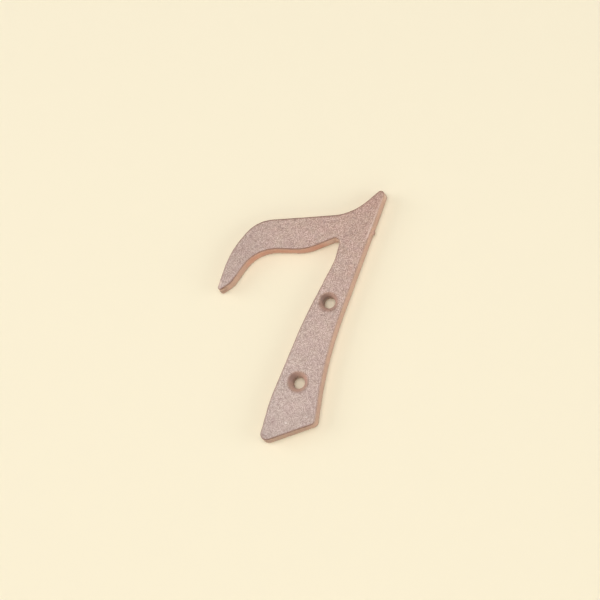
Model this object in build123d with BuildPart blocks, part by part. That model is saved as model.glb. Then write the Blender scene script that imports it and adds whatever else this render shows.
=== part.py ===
from build123d import *
import os

# A house number: the figure 7, cast in one piece, with two countersunk screw holes.
# It stands as it is fixed: X to the right, Z up, its back on the wall plane Y = 0, its face towards -Y.
# The origin is on the back, half way between the two screw holes.

# Casting
thickness = 6.5
draft_angle = 4.0
face_edge_radius = 0.45

# Screw holes, on a line that leans with the stem
hole_pitch = 39.0
hole_lean = 21.8
bore_diameter = 5.6
lower_mouth_diameter = 9.4
upper_mouth_diameter = 8.6
screw_head_angle = 82.0

# Outline on the back: each bend as its X, its Z and the radius that rounds it
flag_tip = (36.9, 73.8, 2.1)
flag_sweep = (18.6, 59.2, 26.0)
shoulder = (-26.2, 58.8, 17.5)
beak_back = (-39.1, 44.6, 41.0)
beak_tip = (-46.4, 23.8, 1.6)
beak_heel = (-38.0, 29.0, 10.0)
arm_hollow = (-26.5, 44.6, 18.0)
arm_wave = (-3.3, 42.7, 22.0)
crotch = (12.9, 48.2, 1.6)
neck = (10.2, 38.1, 23.0)
stem_waist = (-5.2, 9.7, 190.0)
stem_flare = (-20.9, -26.4, 70.0)
foot_left = (-26.6, -46.1, 3.3)
foot_right = (0.7, -37.7, 3.1)
stem_back = (5.3, -7.9, 200.0)

bends = [
    flag_tip,
    flag_sweep,
    shoulder,
    beak_back,
    beak_tip,
    beak_heel,
    arm_hollow,
    arm_wave,
    crotch,
    neck,
    stem_waist,
    stem_flare,
    foot_left,
    foot_right,
    stem_back,
]

back = Plane.XZ
face = Plane.XZ.offset(thickness)

with BuildPart() as numeral:
    with BuildSketch(back) as outline:
        with BuildLine():
            corners = [(x, z) for x, z, radius in bends]
            roundings = [radius for x, z, radius in bends]
            FilletPolyline(*corners, radius=roundings, close=True)
        make_face()
    extrude(amount=thickness)

    # The walls lean in towards the face, so that the pattern leaves the sand
    walls = numeral.faces().filter_by(Axis.Y, reverse=True)
    draft(walls, back, draft_angle)
    fillet(numeral.faces().sort_by(Axis.Y)[0].edges(), face_edge_radius)

    # Both holes take a flat-headed wood screw
    for end, mouth_diameter in ((-0.5, lower_mouth_diameter), (0.5, upper_mouth_diameter)):
        with Locations(face):
            with PolarLocations(end * hole_pitch, 1, 90.0 - hole_lean):
                CounterSinkHole(bore_diameter / 2, mouth_diameter / 2, counter_sink_angle=screw_head_angle)

numeral.part.label = "numeral"
os.makedirs("parts", exist_ok=True)
export_step(numeral.part, "parts/numeral.step")
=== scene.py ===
"""The looks of a cast iron house number, the figure 7.

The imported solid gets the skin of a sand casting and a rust-brown paint, and hangs in a plain studio.
"""

import logging
import math
from dataclasses import dataclass
from enum import Enum

import bpy
import numpy as np
from mathutils import Matrix, Vector
from mathutils.kdtree import KDTree


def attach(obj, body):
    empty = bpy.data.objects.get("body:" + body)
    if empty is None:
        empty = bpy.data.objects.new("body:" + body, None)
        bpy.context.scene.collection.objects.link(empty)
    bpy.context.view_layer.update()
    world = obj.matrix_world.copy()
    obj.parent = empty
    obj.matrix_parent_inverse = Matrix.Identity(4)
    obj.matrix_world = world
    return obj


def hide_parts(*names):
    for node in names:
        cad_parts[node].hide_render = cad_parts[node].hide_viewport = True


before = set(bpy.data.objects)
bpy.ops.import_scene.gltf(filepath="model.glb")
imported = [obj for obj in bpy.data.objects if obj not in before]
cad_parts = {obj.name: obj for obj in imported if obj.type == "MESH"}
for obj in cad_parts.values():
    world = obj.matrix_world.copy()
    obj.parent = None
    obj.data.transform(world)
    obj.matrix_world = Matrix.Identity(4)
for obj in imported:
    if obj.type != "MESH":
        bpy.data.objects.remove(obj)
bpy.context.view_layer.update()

log = logging.getLogger("house_number")

MM = 0.001
NUMERAL_NODE = "numeral"
NUMERAL_PIECE = "cast_numeral"

# Where the numeral's face lies and the radius of its edge, in mm
FACE_Y = -6.5
FACE_EDGE = 0.45

# How near each other loose corners are merged, in mm
MERGE_WITHIN = 0.001

# How many different weights a vertex group has
WEIGHT_STEPS = 20

# The least squared length that a mark counts as, in square mm, so that a round spot has one too
SPOT_LENGTH = 1e-9


def linear(hex_colour: str) -> tuple[float, float, float, float]:
    """Turns an sRGB hex colour into Blender's linear one, by the sRGB standard's own curve.

    Args:
        hex_colour: The colour as "#rrggbb".

    Returns:
        Red, green, blue and alpha, linear.
    """
    channels = []
    for start in (1, 3, 5):
        value = int(hex_colour[start : start + 2], 16) / 255
        channels.append(value / 12.92 if value <= 0.04045 else ((value + 0.055) / 1.055) ** 2.4)
    return (*channels, 1.0)


def add_node(
    tree: bpy.types.NodeTree, kind: str, settings: dict[str, object] | None = None, **inputs: object
) -> bpy.types.Node:
    """Adds a shader node with its settings, its values and its links.

    Args:
        tree: The node tree to add to.
        kind: The node's type name.
        settings: The node's own properties by name.
        inputs: A value or an output socket for each input, by the input's name with _ for a space, or by
            in0, in1 and so on for its place.

    Returns:
        The new node.
    """
    node = tree.nodes.new(kind)
    for name, value in (settings or {}).items():
        setattr(node, name, value)
    for name, value in inputs.items():
        by_place = name.startswith("in") and name[2:].isdigit()
        socket = node.inputs[int(name[2:]) if by_place else name.replace("_", " ")]
        if isinstance(value, bpy.types.NodeSocket):
            tree.links.new(value, socket)
        else:
            socket.default_value = value
    return node


def select_only(piece: bpy.types.Object) -> None:
    """Makes a piece the only selected object and the active one.

    Args:
        piece: The object to select.
    """
    bpy.ops.object.select_all(action="DESELECT")
    piece.select_set(True)
    bpy.context.view_layer.objects.active = piece


def vertex_vectors(piece: bpy.types.Object, key: str) -> np.ndarray:
    """Reads one vector of each vertex of a piece.

    Args:
        piece: The mesh object.
        key: What to read: co for the places, in m, or normal.

    Returns:
        The vectors, one row each.
    """
    flat = np.zeros(len(piece.data.vertices) * 3, np.float32)
    piece.data.vertices.foreach_get(key, flat)
    return flat.reshape(-1, 3)


def weight_group(piece: bpy.types.Object, name: str, weights: np.ndarray) -> str:
    """Makes a vertex group.

    Args:
        piece: The mesh object.
        name: The group's name.
        weights: One weight for each vertex.

    Returns:
        The group's name.
    """
    made = piece.vertex_groups.new(name=name)
    steps = np.round(weights * WEIGHT_STEPS) / WEIGHT_STEPS
    for weight in np.unique(steps[steps > 0]):
        made.add(np.flatnonzero(steps == weight).tolist(), float(weight), "REPLACE")
    return made.name


def direction(azimuth: float, elevation: float) -> Vector:
    """Gives the direction from the numeral to a place round it.

    Args:
        azimuth: 0 is straight in front of the face and 90 to its right, in degrees.
        elevation: The height above the horizon, in degrees.

    Returns:
        A vector of length 1.
    """
    turn = math.radians(azimuth)
    rise = math.radians(elevation)
    return Vector((math.sin(turn) * math.cos(rise), -math.cos(turn) * math.cos(rise), math.sin(rise)))


class Layer(Enum):
    """The marks on the numeral, by the attribute that holds them, from the lowest layer up."""

    # Painted bounce light: a paler, warmer brown on the walls that look down or to the right, and in the
    # holes
    WALL = "wall"
    # Rubbed paint, and painted highlights along the edges that look to a side and along the flag's right
    # edge
    WORN_AND_HIGHLIGHT = "worn_and_highlight"
    # Painted bounce light: a warmer orange on walls that look down or to the right
    WARM_BOUNCE = "rust"
    # Painted shade along the face's edges that look down or up
    EDGE = "edge"
    STAIN = "stain"
    # Painted shade in the screw holes
    HOLE_SHADE = "hole_shade"
    # Painted glints
    GLINT = "fleck"


@dataclass(frozen=True)
class Speckle:
    """A pattern of soft spots in the paint.

    Attributes:
        size: The size of its spots, in mm.
        detail: How many finer sizes of spot lie over them.
        low: The noise's value up to which there is no spot.
        high: The noise's value from which a spot is whole.
    """

    size: float
    detail: float
    low: float
    high: float

    def spread(
        self, tree: bpy.types.NodeTree, place: bpy.types.NodeSocket
    ) -> tuple[bpy.types.NodeSocket, bpy.types.NodeSocket]:
        """Adds the pattern to a material.

        Args:
            tree: The material's node tree.
            place: The output that gives the place on the piece.

        Returns:
            The output with the spots, from 0 to 1, and the one with the plain noise.
        """
        pattern = {"Scale": 1 / (self.size * MM), "Detail": self.detail}
        noise = add_node(tree, "ShaderNodeTexNoise", Vector=place, **pattern).outputs["Fac"]
        limits = {"From_Min": self.low, "From_Max": self.high}
        spots = add_node(tree, "ShaderNodeMapRange", {"clamp": True}, Value=noise, **limits)
        return spots.outputs["Result"], noise


@dataclass(frozen=True)
class PaintedCastIron:
    """Rust-brown alkyd paint, brushed thin over a grey iron sand casting.

    The sand's grain shows through the paint as a fine salt-and-pepper mottle. The paint has a satin sheen:
    it lies thick, dark and dull between the grains and thins to a paler brown on top of them, where it also
    catches the light. Some places are rubbed paler. Light and shade are painted into its colour as well:
    painted highlights along the edges that look to a side, painted shade along the edges that look up or
    down and in the screw holes, painted bounce light as a paler, warmer and smoother brown on the walls and
    in the holes, a painted sheen as a paler grey towards the foot and the beak, and a few bright specks as
    painted glints.

    Attributes:
        deep_hex: The paint between the grains, where it is thick.
        thin_hex: The paint on top of the grains.
        sheen_grey_hex: A painted sheen: the paler grey laid over the paint towards the foot and the beak.
        pit_hex: The paint in the deeper pits.
        wall_hex: Painted bounce light: a paler, warmer and even brown on the walls and in the holes.
        worn_and_highlight_hex: The paint where it is rubbed, and the painted highlights along the edges.
        warm_bounce_hex: Painted bounce light: a warmer orange on the wall under the arm and on a wall to
            the right.
        edge_shade_hex: Painted shade along the face's edges that look down or up.
        stain_hex: The darker paint of stains and of darker patches.
        hole_shade_hex: Painted shade in the screw holes, darkest on their upper left.
        fleck_hex: Painted glints: a few bright specks on the foot.
        grain: The grains' marks. A real one is 0.3 mm, and they are drawn coarser to show.
        clump: The clumps of grains.
        clump_share: How much of the mottle comes from the clumps.
        pits: The deeper pits.
        cloud: The brush's thick and thin patches.
        value_swing: How much paler or darker a patch is.
        tint: The patches that differ in hue.
        hue_swing: How far their hue turns.
        sheen_share: How much of the painted sheen's grey lies over the foot and the beak.
        sheen_from: Where the painted sheen starts, in mm along sheen_lean.
        sheen_full_at: Where it is strongest, in mm along sheen_lean.
        sheen_lean: The way along which the painted sheen gets weaker, in degrees above the X axis.
        dull_tone: The mottle's tone up to which the paint is dullest.
        smooth_tone: The mottle's tone from which it is smoothest.
        dullest: The roughness between the grains.
        smoothest: The roughness on top of the grains.
        bump: The height of a sand grain's mark, in mm.
        ior: The index of refraction of alkyd paint.
    """

    deep_hex: str = "#7a4e37"
    thin_hex: str = "#d3af9d"
    # Painted sheen: a grey laid over the paint towards the foot and the beak
    sheen_grey_hex: str = "#a09f9e"
    pit_hex: str = "#84655a"
    # Painted bounce light on the walls and in the holes
    wall_hex: str = "#d5ad9b"
    # Rubbed paint and painted highlights
    worn_and_highlight_hex: str = "#ead0c1"
    # Painted bounce light: a warmer orange on some walls
    warm_bounce_hex: str = "#d18d74"
    # Painted shade along the face's edges
    edge_shade_hex: str = "#6d4536"
    stain_hex: str = "#7a5344"
    # Painted shade in the screw holes
    hole_shade_hex: str = "#6c564e"
    # Painted glints
    fleck_hex: str = "#efe2d8"
    grain: Speckle = Speckle(0.5, 2.0, 0.36, 0.64)
    clump: Speckle = Speckle(1.6, 3.0, 0.34, 0.66)
    clump_share: float = 0.25
    pits: Speckle = Speckle(1.2, 3.0, 0.58, 0.76)
    cloud: Speckle = Speckle(9.0, 2.0, 0.3, 0.7)
    value_swing: float = 0.05
    tint: Speckle = Speckle(4.05, 1.0, 0.3, 0.7)
    hue_swing: float = 0.006
    sheen_share: float = 0.33
    sheen_from: float = 58.0
    sheen_full_at: float = -30.0
    sheen_lean: float = 26.6
    dull_tone: float = 0.3
    smooth_tone: float = 0.8
    dullest: float = 0.5
    smoothest: float = 0.36
    bump: float = 0.02
    ior: float = 1.5

    def material(self) -> bpy.types.Material:
        """Makes the paint's material.

        Returns:
            The material.
        """
        made = bpy.data.materials.new("painted_cast_iron")
        made.use_nodes = True
        tree = made.node_tree
        tree.nodes.clear()
        place = add_node(tree, "ShaderNodeTexCoord").outputs["Object"]
        grain, plain_grain = self.grain.spread(tree, place)
        clump, _ = self.clump.spread(tree, place)
        pits, _ = self.pits.spread(tree, place)
        tone = add_node(tree, "ShaderNodeMix", Factor=self.clump_share, A=grain, B=clump).outputs["Result"]
        shares = {}
        for layer in Layer:
            attribute = add_node(tree, "ShaderNodeAttribute", {"attribute_name": layer.value})
            shares[layer] = attribute.outputs["Fac"]
        paint = [
            (self.thin_hex, tone),
            # Painted sheen: a paler grey towards the foot and the beak
            (self.sheen_grey_hex, self.painted_sheen_greying(tree, place)),
            (self.pit_hex, pits),
            # Painted bounce light on the walls and in the holes
            (self.wall_hex, shares[Layer.WALL]),
        ]
        marks = [
            # Rubbed paint, and painted highlights along the edges
            (self.worn_and_highlight_hex, shares[Layer.WORN_AND_HIGHLIGHT]),
            # Painted bounce light: a warmer orange on some walls
            (self.warm_bounce_hex, shares[Layer.WARM_BOUNCE]),
            # Painted shade along the edges that look down or up
            (self.edge_shade_hex, shares[Layer.EDGE]),
            # Stains and darker patches
            (self.stain_hex, shares[Layer.STAIN]),
            # Painted shade in the screw holes
            (self.hole_shade_hex, shares[Layer.HOLE_SHADE]),
            # Painted glints
            (self.fleck_hex, shares[Layer.GLINT]),
        ]
        painted = self.lay_coats(tree, linear(self.deep_hex), paint)
        marked = self.lay_coats(tree, self.patches(tree, place, painted), marks)
        limits = {"From_Min": self.dull_tone, "From_Max": self.smooth_tone}
        sheen = {"To_Min": self.dullest, "To_Max": self.smoothest}
        dull = add_node(tree, "ShaderNodeMapRange", Value=tone, **limits, **sheen).outputs["Result"]
        bump = add_node(tree, "ShaderNodeBump", Strength=1.0, Distance=self.bump * MM, Height=plain_grain)
        surface = {"Base_Color": marked, "Roughness": dull, "IOR": self.ior}
        shader = add_node(tree, "ShaderNodeBsdfPrincipled", Normal=bump.outputs["Normal"], **surface)
        add_node(tree, "ShaderNodeOutputMaterial", Surface=shader.outputs["BSDF"])
        return made

    def lay_coats(
        self,
        tree: bpy.types.NodeTree,
        ground: tuple[float, ...] | bpy.types.NodeSocket,
        coats: list[tuple[str, bpy.types.NodeSocket]],
    ) -> bpy.types.NodeSocket:
        """Lays coats of colour one over another.

        Args:
            tree: The material's node tree.
            ground: The colour below them, or the output that gives it.
            coats: The colour of each coat and the output that says how far it covers, the lowest first.

        Returns:
            The output with the colour on top.
        """
        colour = ground
        for hex_colour, share in coats:
            colours = {"in6": colour, "in7": linear(hex_colour)}
            colour = add_node(tree, "ShaderNodeMix", {"data_type": "RGBA"}, in0=share, **colours).outputs[2]
        return colour

    def painted_sheen_greying(self, tree: bpy.types.NodeTree, place: bpy.types.NodeSocket) -> bpy.types.NodeSocket:
        """Adds a painted sheen: a grey that grows from none at the flag to the most at the foot and the
        beak.

        Args:
            tree: The material's node tree.
            place: The output that gives the place on the numeral.

        Returns:
            The output that says how much of the painted sheen's grey lies over the paint.
        """
        lean = math.radians(self.sheen_lean)
        way = (math.cos(lean), 0.0, math.sin(lean))
        along = add_node(tree, "ShaderNodeVectorMath", {"operation": "DOT_PRODUCT"}, in0=place, in1=way)
        # Painted sheen: none at the flag, the most at the foot and the beak
        coat = {"From_Min": self.sheen_from * MM, "From_Max": self.sheen_full_at * MM, "To_Max": self.sheen_share}
        return add_node(tree, "ShaderNodeMapRange", Value=along.outputs["Value"], **coat).outputs["Result"]

    def patches(
        self, tree: bpy.types.NodeTree, place: bpy.types.NodeSocket, colour: bpy.types.NodeSocket
    ) -> bpy.types.NodeSocket:
        """Makes a colour uneven, as a brush leaves it.

        Args:
            tree: The material's node tree.
            place: The output that gives the place on the numeral.
            colour: The output with the even colour.

        Returns:
            The output with the patchy colour.
        """
        cloud, _ = self.cloud.spread(tree, place)
        tint, _ = self.tint.spread(tree, place)
        # The node leaves a colour as it is at a hue of 0.5 and a value of 1
        hues = {"To_Min": 0.5 - self.hue_swing, "To_Max": 0.5 + self.hue_swing}
        values = {"To_Min": 1 - self.value_swing, "To_Max": 1 + self.value_swing}
        patchy = {
            "Hue": add_node(tree, "ShaderNodeMapRange", Value=tint, **hues).outputs["Result"],
            "Value": add_node(tree, "ShaderNodeMapRange", Value=cloud, **values).outputs["Result"],
        }
        return add_node(tree, "ShaderNodeHueSaturation", Color=colour, **patchy).outputs["Color"]


@dataclass(frozen=True)
class SkinRelief:
    """One layer of the uneven skin that a sand mould leaves.

    Attributes:
        name: What the layer is.
        spacing: From one lump to the next, in mm.
        height: From the deepest to the highest point, in mm.
    """

    name: str
    spacing: float
    height: float

    def press_into(self, piece: bpy.types.Object, where: str) -> None:
        """Moves a piece's surface in and out by this layer.

        Args:
            piece: The mesh object.
            where: The vertex group that says how much of the layer each place takes.
        """
        texture = bpy.data.textures.new(self.name, "CLOUDS")
        texture.noise_scale = self.spacing * MM
        modifier = piece.modifiers.new(self.name, "DISPLACE")
        modifier.texture = texture
        modifier.texture_coords = "LOCAL"
        modifier.strength = self.height * MM
        modifier.mid_level = 0.5
        modifier.vertex_group = where
        bpy.ops.object.modifier_apply(modifier=modifier.name)


@dataclass(frozen=True)
class Mark:
    """A small mark on the numeral.

    Attributes:
        layer: The layer that it belongs to.
        start: Its one end, in mm.
        end: Its other end, in mm.
        radius: How wide it spreads, in mm.
        strength: How plain it is, up to 1.
        off_face: Whether it stays below the face.
    """

    layer: Layer
    start: tuple[float, float, float]
    end: tuple[float, float, float]
    radius: float
    strength: float
    off_face: bool = False

    def weights(self, points: np.ndarray) -> np.ndarray:
        """Gives how strong the mark is at each point.

        Args:
            points: Places in mm, one row each.

        Returns:
            One weight for each place.
        """
        start = np.array(self.start)
        along = np.array(self.end) - start
        squared_length = max(float(along @ along), SPOT_LENGTH)
        share = np.clip((points - start) @ along / squared_length, 0, 1)
        away = np.linalg.norm(points - start - share[:, None] * along, axis=1)
        spread = self.strength * np.exp(-((away / self.radius) ** 2))
        return spread * np.clip((points[:, 1] - FACE_Y) / FACE_EDGE, 0, 1) if self.off_face else spread


@dataclass
class CastNumeral:
    """The figure 7 as the sand mould left it.

    Attributes:
        finish: Its paint.
        skin_pitch: The spacing of the skin's points, in mm.
        swell: The slow unevenness of hand-rammed sand.
        sand: The grain of the sand.
        back_share: How much of the relief the back takes, which lies flat on the wall.
        back_fade: How far from the back the relief is whole again, in mm.
        nub_place: Where the flash was broken off the flag's wall, in mm.
        nub_radius: The nub's radius, in mm.
        nub_foot: Where the nub ends, in mm from its middle.
        nub_height: How far the nub stands out, in mm.
        holes: The X and the Z of the screw holes' axes, in mm.
        mouth_line: The radius of the line along which a hole's mouth is rounded, in mm.
        mouth_blur: How far from that line the rounding reaches, in mm.
        mouth_radius: How far from its axis a hole takes the walls' painted bounce light, in mm.
        mouth_margin: How far beyond mouth_radius the band along the edge keeps off a hole, in mm.
        tip: The flag's tip, in mm.
        tip_reach: How far from the tip its edges are rounded, in mm.
        soft_factor: How far one round of softening moves a point.
        soft_rounds: How many rounds there are.
        soft_fall: How steeply the softening ends.
        bounce_fade: How far from the face and the back the painted bounce light on a wall fades in, in mm.
        bounce_most: How much of the mottle the painted bounce light hides on walls looking down or to the
            right.
        bounce_least: How much of it the painted bounce light hides on the other walls.
        edge_shade_below: How dark the painted shade is along an edge that looks down.
        edge_shade_above: How dark it is along an edge that looks up.
        edge_fade: How fast it fades where the edge turns to a side.
        edge_highlight: How pale the painted highlight is along an edge that looks to a side.
        edge_inset: How far inside the outline the band of painted shade and highlight lies, in mm.
        edge_width: How wide the band is, in mm.
        edge_reach: How far from the outline the band ends, in mm.
        edge_depth: How far below the face it ends, in mm.
        marks: The wear, the stains and darker patches, and painted highlights, bounce light, shade and
            glints.
    """

    finish: PaintedCastIron
    skin_pitch: float = 0.31
    swell: SkinRelief = SkinRelief("sand swell", 7.0, 0.2)
    sand: SkinRelief = SkinRelief("sand grain", 0.9, 0.08)
    back_share: float = 0.25
    back_fade: float = 1.5
    nub_place: tuple[float, float, float] = (28.2, -2.8, 49.8)
    nub_radius: float = 0.7
    nub_foot: float = 1.75
    nub_height: float = 1.1
    holes: tuple[tuple[float, float], ...] = ((-7.24, -18.1), (7.24, 18.1))
    mouth_line: float = 4.5
    mouth_blur: float = 1.3
    mouth_radius: float = 4.7
    mouth_margin: float = 0.5
    tip: tuple[float, float, float] = (34.0, -1.5, 68.6)
    tip_reach: float = 3.2
    soft_factor: float = 0.5
    soft_rounds: int = 12
    soft_fall: int = 4
    bounce_fade: float = 0.6
    bounce_most: float = 0.75
    bounce_least: float = 0.35
    edge_shade_below: float = 0.68
    edge_shade_above: float = 0.55
    edge_fade: float = 1.5
    edge_highlight: float = 0.2
    edge_inset: float = 0.33
    edge_width: float = 0.42
    edge_reach: float = 1.68
    edge_depth: float = 0.9
    marks: tuple[Mark, ...] = (
        # Painted highlight: a pale line along the flag's right edge
        Mark(Layer.WORN_AND_HIGHLIGHT, (33.1, -6.4, 65.6), (25.5, -6.4, 47.2), 0.4, 0.62),
        # Paler patches on the tip's wall, on the beak's tip and on a wall under the arm
        Mark(Layer.WORN_AND_HIGHLIGHT, (33.9, -3.2, 69.2), (34.3, -3.2, 66.5), 1.6, 0.6, off_face=True),
        Mark(Layer.WORN_AND_HIGHLIGHT, (-43.4, -6.2, 30.0), (-44.0, -5.6, 26.3), 0.75, 0.85),
        Mark(Layer.WORN_AND_HIGHLIGHT, (7.3, -3.5, 45.8), (12.5, -3.5, 46.2), 2.3, 0.85, off_face=True),
        # Painted bounce light: a warmer orange on the wall under the arm and on the stem's right wall
        Mark(Layer.WARM_BOUNCE, (-30.0, -3.2, 40.0), (-18.0, -3.2, 43.8), 2.8, 0.7, off_face=True),
        Mark(Layer.WARM_BOUNCE, (-18.0, -3.2, 43.8), (4.5, -3.2, 44.5), 2.8, 0.7, off_face=True),
        Mark(Layer.WARM_BOUNCE, (17.8, -5.0, 34.0), (16.6, -5.0, 30.5), 1.2, 0.45),
        # Broad darker patches at the foot, the beak and the tip, and a darker strip along the stem's right
        # side
        Mark(Layer.STAIN, (-22.0, -6.5, -42.0), (0.0, -6.5, -34.0), 9.0, 0.11),
        Mark(Layer.STAIN, (-42.0, -6.5, 27.0), (-34.0, -6.5, 40.0), 8.0, 0.1),
        Mark(Layer.STAIN, (33.0, -6.5, 66.0), (28.0, -6.5, 58.0), 7.0, 0.09),
        Mark(Layer.STAIN, (2.8, -6.5, -14.0), (2.6, -6.5, -31.0), 2.2, 0.14),
        # A dark spot at the foot's corner
        Mark(Layer.STAIN, (-23.6, -6.4, -41.4), (-21.6, -6.4, -42.4), 0.5, 0.6),
        # Darker on the foot's bottom wall and on the wall under the arm
        Mark(Layer.STAIN, (-26.0, -3.5, -44.0), (-3.0, -3.5, -39.0), 3.0, 0.4, off_face=True),
        Mark(Layer.STAIN, (-23.0, -3.2, 41.6), (-19.5, -3.2, 43.0), 2.2, 0.16, off_face=True),
        # The broken flash nub is darker
        Mark(Layer.STAIN, (28.2, -2.8, 49.8), (28.2, -2.8, 49.8), 1.1, 0.9),
        # Darker at the beak's end and along its lower edge
        Mark(Layer.STAIN, (-42.2, -6.2, 26.8), (-40.7, -5.0, 27.2), 1.0, 0.8),
        Mark(Layer.STAIN, (-43.4, -2.6, 25.2), (-41.2, -2.6, 25.8), 1.9, 0.75, off_face=True),
        Mark(Layer.STAIN, (-40.4, -6.1, 27.7), (-36.0, -6.1, 32.7), 0.6, 0.5),
        # Painted shade in the screw holes' mouths, darkest on their upper left
        Mark(Layer.HOLE_SHADE, (5.2, -4.2, 20.1), (5.2, -6.5, 20.1), 4.2, 0.8, off_face=True),
        Mark(Layer.HOLE_SHADE, (-9.5, -4.4, -15.7), (-9.5, -6.5, -15.7), 4.0, 0.66, off_face=True),
        # Painted glints: two bright specks on the foot
        Mark(Layer.GLINT, (-12.9, -6.5, -36.5), (-12.9, -6.5, -36.5), 0.4, 0.55),
        Mark(Layer.GLINT, (-3.2, -6.5, -34.2), (-3.2, -6.5, -34.2), 0.35, 0.4),
    )

    def off_axis(self, points: np.ndarray) -> np.ndarray:
        """Gives how far from the nearer screw hole's axis each point lies, in mm."""
        return np.min([np.hypot(points[:, 0] - x, points[:, 2] - z) for x, z in self.holes], axis=0)

    def copy_solid(self) -> bpy.types.Object:
        """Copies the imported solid's mesh into a piece of its own and merges its loose triangles.

        Returns:
            The new piece, at the origin.
        """
        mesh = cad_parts[NUMERAL_NODE].data.copy()
        mesh.name = NUMERAL_PIECE
        mesh.materials.clear()
        piece = bpy.data.objects.new(NUMERAL_PIECE, mesh)
        bpy.context.scene.collection.objects.link(piece)
        select_only(piece)
        bpy.ops.object.mode_set(mode="EDIT")
        bpy.ops.mesh.select_all(action="SELECT")
        bpy.ops.mesh.remove_doubles(threshold=MERGE_WITHIN * MM)
        bpy.ops.object.mode_set(mode="OBJECT")
        return piece

    def lay_skin(self, piece: bpy.types.Object) -> None:
        """Covers the numeral with small even faces, which can take the relief.

        Args:
            piece: The mesh object.
        """
        modifier = piece.modifiers.new("casting skin", "REMESH")
        modifier.mode = "VOXEL"
        modifier.voxel_size = self.skin_pitch * MM
        bpy.ops.object.modifier_apply(modifier=modifier.name)

    def leave_marks(self, piece: bpy.types.Object) -> None:
        """Writes each layer of marks down as an attribute.

        Args:
            piece: The mesh object.
        """
        points = vertex_vectors(piece, "co") / MM
        band, looks = self.rim_band(piece, points)
        below = np.clip(-looks[:, 2], 0, 1) ** self.edge_fade
        above = np.clip(looks[:, 2], 0, 1) ** self.edge_fade
        weights = {layer: np.zeros(len(points)) for layer in Layer}
        # Painted bounce light: paler, warmer walls, most on those that look down or to the right
        weights[Layer.WALL] = self.painted_bounce_share(piece, points)
        # Painted highlight: a paler band along the edges that look to a side
        weights[Layer.WORN_AND_HIGHLIGHT] = band * self.edge_highlight * looks[:, 0] ** 2
        # Painted shade: a dark band along the edges that look down or up
        weights[Layer.EDGE] = band * (self.edge_shade_below * below + self.edge_shade_above * above)
        for mark in self.marks:
            weights[mark.layer] = np.maximum(weights[mark.layer], mark.weights(points))
        for layer, shares in weights.items():
            attribute = piece.data.attributes.new(layer.value, "FLOAT", "POINT")
            attribute.data.foreach_set("value", shares.astype(np.float32))

    def rim_band(self, piece: bpy.types.Object, points: np.ndarray) -> tuple[np.ndarray, np.ndarray]:
        """Finds the band along the face's edge, apart from the screw holes.

        Args:
            piece: The mesh object.
            points: Its points, in mm.

        Returns:
            How much each point belongs to the band, and the way that the outline looks there.
        """
        depth = points[:, 1] - FACE_Y
        at_edge = np.abs(depth - FACE_EDGE) < self.skin_pitch / 2
        off_holes = self.off_axis(points) >= self.mouth_radius + self.mouth_margin
        rim = np.flatnonzero(at_edge & off_holes)
        tree = KDTree(len(rim))
        for place, index in enumerate(rim):
            tree.insert(points[index], place)
        tree.balance()
        share = np.zeros(len(points))
        looks = np.zeros((len(points), 3))
        for index in np.flatnonzero(depth < self.edge_depth):
            _, place, away = tree.find(points[index])
            if away < self.edge_reach:
                inward = away if depth[index] < FACE_EDGE else -away
                share[index] = math.exp(-(((inward - self.edge_inset) / self.edge_width) ** 2))
                looks[index] = piece.data.vertices[rim[place]].normal
        return share, looks

    def painted_bounce_share(self, piece: bpy.types.Object, points: np.ndarray) -> np.ndarray:
        """Gives each point's painted bounce light: most on the lower and right walls and in the holes.

        Args:
            piece: The mesh object.
            points: Its points, in mm.

        Returns:
            One weight for each point, 0 on the face and on the back.
        """
        looks = vertex_vectors(piece, "normal")
        off_face = np.clip((points[:, 1] - FACE_Y) / self.bounce_fade, 0, 1)
        off_back = np.clip(-points[:, 1] / self.bounce_fade, 0, 1)
        # 1 on a wall that looks down or to the right, 0 on one that looks up or to the left, 0.5 half way
        side = np.clip(0.5 + looks[:, 0] - looks[:, 2], 0, 1)
        hole = self.off_axis(points) < self.mouth_radius
        # Painted bounce light, strongest on the lower and right walls and in the holes
        whole = self.bounce_least + (self.bounce_most - self.bounce_least) * np.maximum(side, hole)
        return off_face * off_back * whole

    def soften(self, piece: bpy.types.Object) -> None:
        """Rounds the screw holes' mouths and the flag's tip.

        Args:
            piece: The mesh object.
        """
        points = vertex_vectors(piece, "co") / MM
        off_tip = np.linalg.norm(points - np.array(self.tip), axis=1)
        off_line = np.hypot(self.off_axis(points) - self.mouth_line, points[:, 1] - FACE_Y)
        away = np.minimum(off_tip / self.tip_reach, off_line / self.mouth_blur)
        modifier = piece.modifiers.new("softened edges", "SMOOTH")
        modifier.factor = self.soft_factor
        modifier.iterations = self.soft_rounds
        modifier.vertex_group = weight_group(piece, "softened", np.exp(-(away**self.soft_fall)))
        bpy.ops.object.modifier_apply(modifier=modifier.name)

    def leave_nub(self, piece: bpy.types.Object) -> None:
        """Raises the stub of flash on the flag's wall.

        Args:
            piece: The mesh object.
        """
        points = vertex_vectors(piece, "co") / MM
        away = np.linalg.norm(points - np.array(self.nub_place), axis=1)
        away = away - away.min()
        weights = np.exp(-((away / self.nub_radius) ** 2)) * (away < self.nub_foot)
        modifier = piece.modifiers.new("flash nub", "DISPLACE")
        modifier.strength = self.nub_height * MM
        modifier.mid_level = 0.0
        modifier.vertex_group = weight_group(piece, "nub", weights)
        bpy.ops.object.modifier_apply(modifier=modifier.name)

    def roughen(self, piece: bpy.types.Object) -> None:
        """Presses the sand's relief into the skin, and less of it into the back.

        Args:
            piece: The mesh object.
        """
        off_back = -vertex_vectors(piece, "co")[:, 1] / MM
        share = np.clip(self.back_share + (1 - self.back_share) * off_back / self.back_fade, 0, 1)
        skin = weight_group(piece, "skin", share)
        self.swell.press_into(piece, skin)
        self.sand.press_into(piece, skin)

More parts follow.
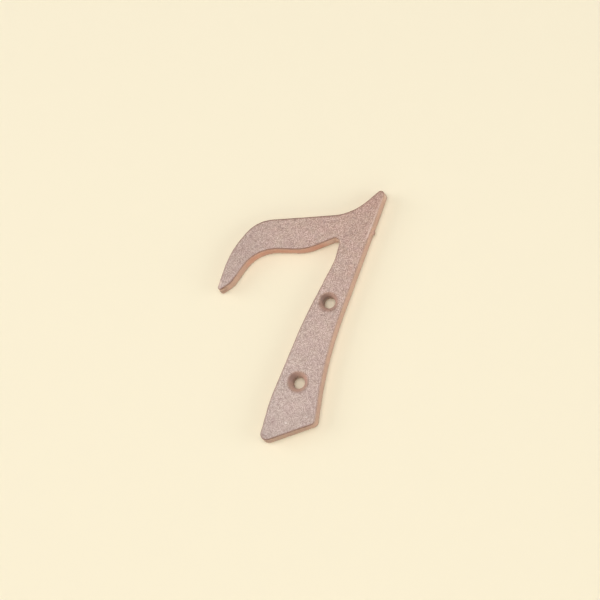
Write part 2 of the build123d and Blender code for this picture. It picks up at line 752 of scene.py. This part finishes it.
    def build(self) -> bpy.types.Object:
        """Makes, dresses and places the numeral.

        Returns:
            The finished piece.
        """
        piece = self.copy_solid()
        self.lay_skin(piece)
        self.leave_marks(piece)
        self.soften(piece)
        self.leave_nub(piece)
        self.roughen(piece)
        piece.vertex_groups.clear()
        bpy.ops.object.shade_smooth()
        piece.data.materials.append(self.finish.material())
        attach(piece, "root")
        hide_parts(NUMERAL_NODE)
        return piece


@dataclass(frozen=True)
class Softbox:
    """A square studio lamp.

    Attributes:
        name: The lamp's name.
        azimuth: Where it stands round the numeral, in degrees: 0 is straight in front, 90 to the right.
        elevation: How high it stands, in degrees.
        distance: How far away, in m.
        size: The width of its face, in m.
        watts: Its power.
        hex_colour: Its colour.
        only_gloss: Whether it shows in the sheen alone and lights nothing.
    """

    name: str
    azimuth: float
    elevation: float
    distance: float
    size: float
    watts: float
    hex_colour: str = "#ffffff"
    only_gloss: bool = False

    def build(self) -> bpy.types.Object:
        """Hangs the lamp, turned to the numeral.

        Returns:
            The lamp.
        """
        lamp = bpy.data.lights.new(self.name, "AREA")
        lamp.shape = "SQUARE"
        lamp.size = self.size
        lamp.energy = self.watts
        lamp.color = linear(self.hex_colour)[:3]
        made = bpy.data.objects.new(self.name, lamp)
        away = direction(self.azimuth, self.elevation)
        made.location = away * self.distance
        made.rotation_euler = away.to_track_quat("Z", "Y").to_euler()
        made.visible_diffuse = not self.only_gloss
        bpy.context.scene.collection.objects.link(made)
        return made


@dataclass
class Studio:
    """A plain pale floor, a plain pale wall that the numeral hangs on, and soft light.

    Attributes:
        wall_gap: From the numeral's back to the wall, in mm.
        floor_height: The floor's height, in m.
        reach: The width of the wall and of the floor, in m.
        wall_hex: The wall's colour.
        floor_hex: The floor's colour.
        sky_hex: The colour of the light from all round.
        sky: The strength of the light from all round.
        lamps: The softboxes.
    """

    wall_gap: float = 0.4
    floor_height: float = -1.1
    reach: float = 2.5
    wall_hex: str = "#f5ecd3"
    floor_hex: str = "#f0ece4"
    sky_hex: str = "#fffaf2"
    sky: float = 0.29
    lamps: tuple[Softbox, ...] = (
        Softbox("sheen", -13.0, 8.0, 1.0, 0.25, 3.7, only_gloss=True),
        Softbox("front", 0.0, 0.0, 1.6, 1.0, 14.0),
        Softbox("right", 68.0, -8.0, 1.6, 1.0, 6.5),
        Softbox("left", -60.0, 10.0, 1.6, 1.0, 7.3),
        Softbox("back", 200.0, 35.0, 1.2, 1.0, 4.5),
    )

    def matte(self, name: str, hex_colour: str, seen_through: bool) -> bpy.types.Material:
        """Makes a matte studio paint.

        Args:
            name: The material's name.
            hex_colour: Its colour.
            seen_through: Whether its back lets the view through, so that the numeral shows from behind.

        Returns:
            The material.
        """
        made = bpy.data.materials.new(name)
        made.use_nodes = True
        tree = made.node_tree
        tree.nodes.clear()
        surface = add_node(tree, "ShaderNodeBsdfDiffuse", Color=linear(hex_colour)).outputs["BSDF"]
        if seen_through:
            side = add_node(tree, "ShaderNodeNewGeometry").outputs["Backfacing"]
            clear = add_node(tree, "ShaderNodeBsdfTransparent").outputs["BSDF"]
            mixed = add_node(tree, "ShaderNodeMixShader", Fac=side, in1=surface, in2=clear)
            surface = mixed.outputs["Shader"]
        add_node(tree, "ShaderNodeOutputMaterial", Surface=surface)
        return made

    def sheet(self, name: str, material: bpy.types.Material) -> bpy.types.Object:
        """Adds a flat square of the studio.

        Args:
            name: The square's name.
            material: Its paint.

        Returns:
            The square, flat at the origin.
        """
        bpy.ops.object.select_all(action="DESELECT")
        bpy.ops.mesh.primitive_plane_add(size=self.reach)
        made = bpy.context.active_object
        made.name = name
        made.data.materials.append(material)
        return made

    def build(self) -> None:
        """Sets up the floor, the wall, the lamps and the light from all round."""
        floor = self.sheet("floor", self.matte("floor_matte", self.floor_hex, False))
        floor.location.z = self.floor_height
        wall = self.sheet("backdrop", self.matte("wall_matte", self.wall_hex, True))
        wall.rotation_euler.x = math.pi / 2
        wall.location.y = self.wall_gap * MM
        wall.location.z = self.floor_height + self.reach / 2
        wall.visible_shadow = False
        for lamp in self.lamps:
            lamp.build()
        world = bpy.data.worlds.new("studio")
        world.use_nodes = True
        sky = world.node_tree.nodes["Background"]
        sky.inputs["Color"].default_value = linear(self.sky_hex)
        sky.inputs["Strength"].default_value = self.sky
        bpy.context.scene.world = world


@dataclass
class PhotoCamera:
    """The camera, as it stood for the photograph: a little to the numeral's right and below it.

    Attributes:
        aim: The point that the picture's middle shows, in mm.
        azimuth: How far to the right it stands, in degrees.
        elevation: How far above it stands, in degrees.
        roll: How far the picture's content is turned anticlockwise, in degrees.
        distance: How far away it stands, in mm.
        lens: The focal length, in mm.
        sensor: The sensor's width, in mm.
    """

    aim: tuple[float, float, float] = (-5.87, -6.59, 19.49)
    azimuth: float = 11.0
    elevation: float = -13.0
    roll: float = 0.5
    distance: float = 659.4
    lens: float = 87.0
    sensor: float = 36.0

    def build(self) -> bpy.types.Object:
        """Sets up the camera and makes it the scene's.

        Returns:
            The camera.
        """
        optics = bpy.data.cameras.new("photo_camera")
        optics.lens = self.lens
        optics.sensor_width = self.sensor
        made = bpy.data.objects.new("photo_camera", optics)
        back = direction(self.azimuth, self.elevation)
        turn = back.to_track_quat("Z", "Y").to_matrix() @ Matrix.Rotation(math.radians(-self.roll), 3, "Z")
        place = (Vector(self.aim) + back * self.distance) * MM
        made.matrix_world = Matrix.Translation(place) @ turn.to_4x4()
        bpy.context.scene.collection.objects.link(made)
        bpy.context.scene.camera = made
        return made


def main() -> None:
    """Builds the camera, the studio and the numeral."""
    logging.basicConfig(level=logging.INFO, format="%(name)s: %(message)s")
    bpy.context.scene.view_settings.view_transform = "Standard"
    camera = PhotoCamera().build()
    log.info("%s at %s", camera.name, tuple(round(v, 4) for v in camera.location))
    Studio().build()
    log.info("studio set up")
    numeral = CastNumeral(PaintedCastIron()).build()
    log.info("%s has %d faces", numeral.name, len(numeral.data.polygons))
    bpy.context.view_layer.update()


if __name__ == "__main__":
    main()
